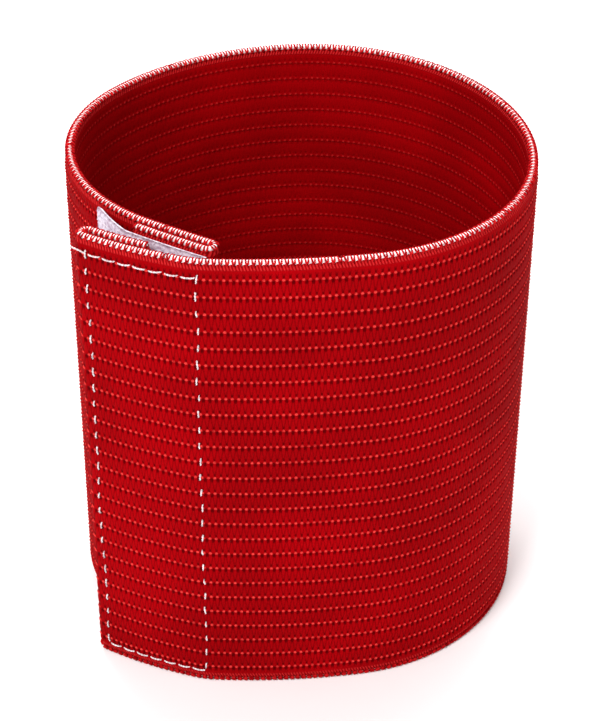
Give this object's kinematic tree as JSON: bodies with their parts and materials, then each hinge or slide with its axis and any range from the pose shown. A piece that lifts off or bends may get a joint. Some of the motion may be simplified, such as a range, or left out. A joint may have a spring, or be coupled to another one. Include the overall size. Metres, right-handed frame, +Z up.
{
  "type": "elastic wristband",
  "caption": "Wide ribbed elastic band closed into a standing loop by hook and loop tape on its overlapping ends, with white box stitching.",
  "frame": {"origin": "centre of the bounding box on the plane the band stands on", "axes": "+Z up along the band's height, -Y towards the overlapped closure, +X towards the closed side wall"},
  "size_m": [0.0694, 0.0661, 0.076],
  "materials": {
    "woven_elastic": "ribbed woven elastic, matte with a slight sheen on the raised yarns",
    "rubber": "cut rubber thread",
    "white_yarn": "white selvedge cord",
    "loop_pile": "brushed loop pile",
    "hook_tape": "woven hook tape",
    "white_thread": "twisted sewing thread"
  },
  "bodies": {
    "back_and_left": {"band_left_wall": "woven_elastic", "rubber_strands_left_wall": "rubber", "edge_cords_left_wall": "white_yarn", "band_back_wall": "woven_elastic", "rubber_strands_back_wall": "rubber", "edge_cords_back_wall": "white_yarn"},
    "inner_end": {"band_inner_end": "woven_elastic", "rubber_strands_inner_end": "rubber", "edge_cords_inner_end": "white_yarn", "loop_tape": "loop_pile", "loop_tape_stitching": "white_thread"},
    "right_wall": {"band_right_wall": "woven_elastic", "rubber_strands_right_wall": "rubber", "edge_cords_right_wall": "white_yarn"},
    "front_wall": {"band_front_wall": "woven_elastic", "rubber_strands_front_wall": "rubber", "edge_cords_front_wall": "white_yarn"},
    "flap": {"band_flap": "woven_elastic", "rubber_strands_flap": "rubber", "edge_cords_flap": "white_yarn", "hook_tape": "hook_tape", "flap_stitching": "white_thread", "flap_thread_tail": "white_thread"}
  },
  "joints": [
    {"name": "inner_end_flex", "type": "hinge", "parent": "back_and_left", "child": "inner_end", "pos_m": [-0.02966, -0.01331, 0.038], "axis": [0, 0, 1], "range_deg": [0, 20]},
    {"name": "right_wall_flex", "type": "hinge", "parent": "back_and_left", "child": "right_wall", "pos_m": [0.02257, 0.02422, 0.038], "axis": [0, 0, 1], "range_deg": [0, 25]},
    {"name": "front_wall_flex", "type": "hinge", "parent": "right_wall", "child": "front_wall", "pos_m": [0.03339, -0.00675, 0.038], "axis": [0, 0, 1], "range_deg": [0, 25]},
    {"name": "flap_peel", "type": "hinge", "parent": "front_wall", "child": "flap", "pos_m": [-0.0099, -0.03219, 0.038], "axis": [0, 0, 1], "range_deg": [0, 75]}
  ],
  "couplings": [
    {"joint": "front_wall_flex", "follows": "right_wall_flex", "ratio": 1}
  ]
}
